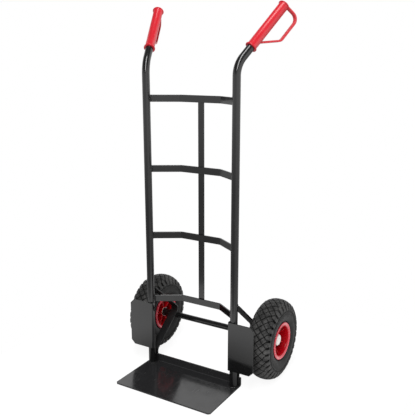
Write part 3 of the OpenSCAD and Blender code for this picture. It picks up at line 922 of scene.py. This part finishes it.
def rim_shell(hub_length, outer_rib, inner_rib, heading):
    """One half of the rim, with its ribs and bolt bosses. The ribs slope from the barrel to the hub."""
    mesh = bmesh.new()
    outline = [
        (0, BUSH_RADIUS), (hub_length - 0.001, BUSH_RADIUS), (hub_length, BUSH_RADIUS + 0.0008),
        (hub_length, HUB_RADIUS - 0.0010), (hub_length - 0.0010, HUB_RADIUS), (WEB + 0.003, HUB_RADIUS),
        (WEB + 0.0009, HUB_RADIUS + 0.0009), (WEB, HUB_RADIUS + 0.003), (WEB, BARREL_RADIUS - 0.004),
        (WEB + 0.0012, BARREL_RADIUS - 0.0012), (WEB + 0.004, BARREL_RADIUS),
        (RIM_FACE - 0.0120, BARREL_RADIUS), (RIM_FACE - 0.0050, 0.0480), (RIM_FACE - 0.0026, 0.0490),
        (RIM_FACE - 0.0016, 0.0502), (RIM_FACE - 0.0016, 0.0512), (RIM_FACE - 0.0028, 0.0524),
        (RIM_FACE - 0.0026, 0.0538), (RIM_FACE - 0.0012, 0.0552), (RIM_FACE - 0.0002, 0.0568),
        (RIM_FACE, 0.0582), (RIM_FACE - 0.0004, FLANGE_RADIUS - 0.0014),
        (RIM_FACE - 0.0012, FLANGE_RADIUS - 0.0004), (RIM_FACE - 0.0022, FLANGE_RADIUS),
        (RIM_FACE - 0.0036, FLANGE_RADIUS), (RIM_FACE - 0.0042, FLANGE_RADIUS - 0.001),
        (RIM_FACE - 0.0046, 0.0540), (RIM_FACE - 0.006, BARREL_OUTSIDE), (0, BARREL_OUTSIDE),
        (0, BUSH_RADIUS),
    ]
    lathe(mesh, outline, WHEEL_CENTRE, heading, 96)
    inner = HUB_RADIUS - RIB_OVERLAP
    outer = BARREL_RADIUS + RIB_OVERLAP
    for number in range(RIBS):
        rib = bmesh.new()
        verts = block(rib, (inner, -RIB_THICKNESS / 2, 0), (outer, RIB_THICKNESS / 2, outer_rib))
        hub_end = [vert for vert in verts if vert.co.x < (inner + outer) / 2 and vert.co.z > outer_rib / 2]
        bmesh.ops.translate(rib, vec=(0, 0, inner_rib - outer_rib), verts=hub_end)
        bmesh.ops.bevel(rib, geom=rib.edges, affect="EDGES", offset=RIB_EDGE, segments=2, profile=0.5,
                        material=-1)
        along_spoke = axes(WHEEL_CENTRE, heading, spoke(360 / RIBS * number))
        bmesh.ops.transform(rib, matrix=along_spoke, verts=rib.verts)
        join(mesh, rib)
    boss_outline = [
        (BOSS_FOOT, BOSS_RADIUS + BOSS_FILLET), (WEB + 0.0006, BOSS_RADIUS + BOSS_FILLET),
        (WEB + 0.0018, BOSS_RADIUS), (BOSS_HEIGHT - 0.0006, BOSS_RADIUS - 0.0002),
        (BOSS_HEIGHT, BOSS_RADIUS - 0.0009), (BOSS_HEIGHT, BOLT_HOLE), (BOSS_FOOT, BOLT_HOLE),
        (BOSS_FOOT, BOSS_RADIUS + BOSS_FILLET),
    ]
    for degrees in BOLT_ANGLES:
        foot = axes(WHEEL_CENTRE + spoke(degrees) * BOLT_CIRCLE, heading, UP)
        boss = bmesh.new()
        lathe(boss, boss_outline, Vector((0, 0, 0)), UP, 28)
        bmesh.ops.transform(boss, matrix=foot, verts=boss.verts)
        join(mesh, boss)
    return mesh


outer_shell = rim_shell(hub_length=0.012, outer_rib=0.024, inner_rib=0.0045, heading=RIGHT)
inner_shell = rim_shell(hub_length=0.028, outer_rib=0.033, inner_rib=0.027, heading=-RIGHT)
add_wheels("rim_outer_shell", outer_shell, rim_material, ["rim_outer"])
add_wheels("rim_inner_shell", inner_shell, rim_material, ["rim_inner"])

# ---------------------------------------------------------------------------
# Rim bolts and hub bushes. Three dark plated bolts and nuts clamp the two shells together, and a nylon
# bush pressed into each end of the hub runs on the axle.
# ---------------------------------------------------------------------------

dark_zinc = zinc_plate("black_zinc_plate", 0.10)
dress("rim_bolts", dark_zinc)
dress("rim_nuts", dark_zinc)

nylon = new_finish("natural_nylon")
worn = nylon.noise(0.003, 4.0).between(0.5, 0.75)
dress("hub_bushes", nylon.surface(
    Base_Color=nylon.mix(worn * 0.4, (0.58, 0.55, 0.47, 1), (0.22, 0.20, 0.17, 1)),
    Roughness=0.42 + 0.12 * worn,
    Normal=nylon.bump(nylon.noise(0.0008, 2.0), 0.00003),
))

# ---------------------------------------------------------------------------
# Hub caps. White moulded plastic cups with a rounded edge and a shallow dished face. Each one is pressed
# over the outer hub and hides the axle's end and its cotter pin.
# ---------------------------------------------------------------------------

cap_low, cap_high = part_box("right_hub_cap")
cap_radius = (cap_high.z - cap_low.z) / 2
cap_length = cap_high.x - cap_low.x
cap_start = Vector((cap_low.x, WHEEL_CENTRE.y, WHEEL_CENTRE.z))
cap = bmesh.new()
outline = [
    (cap_length - 0.0015, 0), (cap_length - 0.0015, HUB_RADIUS), (0, HUB_RADIUS), (0, cap_radius - 0.0003),
    (0.0004, cap_radius), (cap_length - 0.0035, cap_radius), (cap_length - 0.0020, cap_radius - 0.0005),
    (cap_length - 0.0007, cap_radius - 0.0017), (cap_length - 0.0001, cap_radius - 0.0036),
    (cap_length, cap_radius - 0.0050), (cap_length - 0.0004, cap_radius - 0.0062), (cap_length - 0.0004, 0),
]
lathe(cap, outline, cap_start, RIGHT)
cap_plastic = new_finish("white_cap_plastic")
cap_scuff = cap_plastic.noise(0.004, 4.0).between(0.5, 0.8)
cap_colour = cap_plastic.mix(cap_scuff * 0.10, (0.94, 0.91, 0.87, 1), (0.74, 0.71, 0.65, 1))
cap_material = cap_plastic.surface(
    Base_Color=cap_colour,
    Roughness=0.30 + 0.1 * cap_scuff,
    Normal=cap_plastic.bump(cap_plastic.noise(0.001, 2.0), 0.00004),
)
add_wheels("hub_cap_cup", cap, cap_material, ["hub_cap"])

# ---------------------------------------------------------------------------
# Studio. A small pale floor in a white room that lights the truck from all round, with a dim ceiling and a
# brighter right wall. One tall soft light stands high in front, and the camera looks from the right front.
# ---------------------------------------------------------------------------

FLOOR_HALF = 0.65
FLOOR_GAP = 0.0005
CAMERA_PLACE = (0.99825, -1.57378, 1.00161)
CAMERA_TURN = math.radians(30.64)
CAMERA_TILT = math.radians(76.022)
CAMERA_ROLL = math.radians(0.215)

room = Finish(bpy.data.worlds.new("studio"))
bpy.context.scene.world = room.owner
direction = room.node("ShaderNodeTexCoord", {}, [], "Generated")
backwards = room.node("ShaderNodeSeparateXYZ", {}, [direction], "Y")
upwards = room.node("ShaderNodeSeparateXYZ", {}, [direction], "Z")
right_wall = room.node("ShaderNodeSeparateXYZ", {}, [direction], "X").between(0.2, 0.8)
walls = upwards.between(-0.24, -0.04)
ceiling = (upwards - 0.35 * backwards).between(0.28, 0.62)
light = (0.33 + 0.60 * walls + 0.3 * right_wall) * (1 - ceiling) + 0.13 * ceiling
is_seen = room.node("ShaderNodeLightPath", {}, [], "Is Camera Ray")
strength = light * (1 - is_seen) + is_seen
background = room.node("ShaderNodeBackground", {}, {"Color": (1, 1, 1, 1), "Strength": strength})
world_output = room.tree.nodes.new("ShaderNodeOutputWorld")
room.tree.links.new(background.socket, world_output.inputs[0])

pale_floor = new_finish("studio_floor")
floor_place = pale_floor.place()
from_middle = pale_floor.node("ShaderNodeVectorMath", {"operation": "LENGTH"}, [floor_place], "Value")
# Painted shade: seen in reflections the floor's glow drops to a dim grey near the truck, standing in for the
# shade under and around it, while the camera sees the floor evenly pale.
clear_of_painted_shade = from_middle.between(0.12, 0.50)
floor_glow_with_painted_shade = pale_floor.mix(clear_of_painted_shade, (0.10, 0.10, 0.10, 1), (1.0, 1.0, 1.0, 1))
seen_floor = pale_floor.node("ShaderNodeLightPath", {}, [], "Is Camera Ray")
floor_mesh = bmesh.new()
bmesh.ops.create_grid(floor_mesh, x_segments=1, y_segments=1, size=FLOOR_HALF)
floor_data = bpy.data.meshes.new("floor")
floor_mesh.to_mesh(floor_data)
floor_mesh.free()
floor = bpy.data.objects.new("floor", floor_data)
floor.location.z = -FLOOR_GAP
bpy.context.scene.collection.objects.link(floor)
floor_data.materials.append(pale_floor.surface(
    Base_Color=(0.22, 0.22, 0.22, 1),
    Roughness=1.0,
    Specular_IOR_Level=0.0,
    Emission_Color=pale_floor.mix(seen_floor, floor_glow_with_painted_shade, (0.9, 0.9, 0.9, 1)),
    Emission_Strength=1.0,
))


def soft_light(name, place, aim, width, height, power):
    """A rectangular light at a place, facing a point."""
    data = bpy.data.lights.new(name, "AREA")
    data.shape = "RECTANGLE"
    data.size = width
    data.size_y = height
    data.energy = power
    light = bpy.data.objects.new(name, data)
    heading = Vector(place) - Vector(aim)
    light.matrix_world = axes(place, heading, UP.cross(heading))
    bpy.context.scene.collection.objects.link(light)


soft_light("tall_front_light", (0.62, -1.3, 2.6), (0, 0, 1.0), width=0.6, height=2.8, power=52)

camera_data = bpy.data.cameras.new("camera")
camera = bpy.data.objects.new("camera", camera_data)
camera_data.lens = 52.70
camera_data.sensor_width = 36
camera_data.shift_x = -0.02034
camera_data.shift_y = 0.01598
camera_data.clip_end = 100
camera.matrix_world = (
    Matrix.Translation(CAMERA_PLACE)
    @ Matrix.Rotation(CAMERA_TURN, 4, "Z")
    @ Matrix.Rotation(CAMERA_TILT, 4, "X")
    @ Matrix.Rotation(CAMERA_ROLL, 4, "Z")
)
bpy.context.scene.collection.objects.link(camera)
bpy.context.scene.camera = camera
bpy.context.scene.view_settings.view_transform = "Standard"
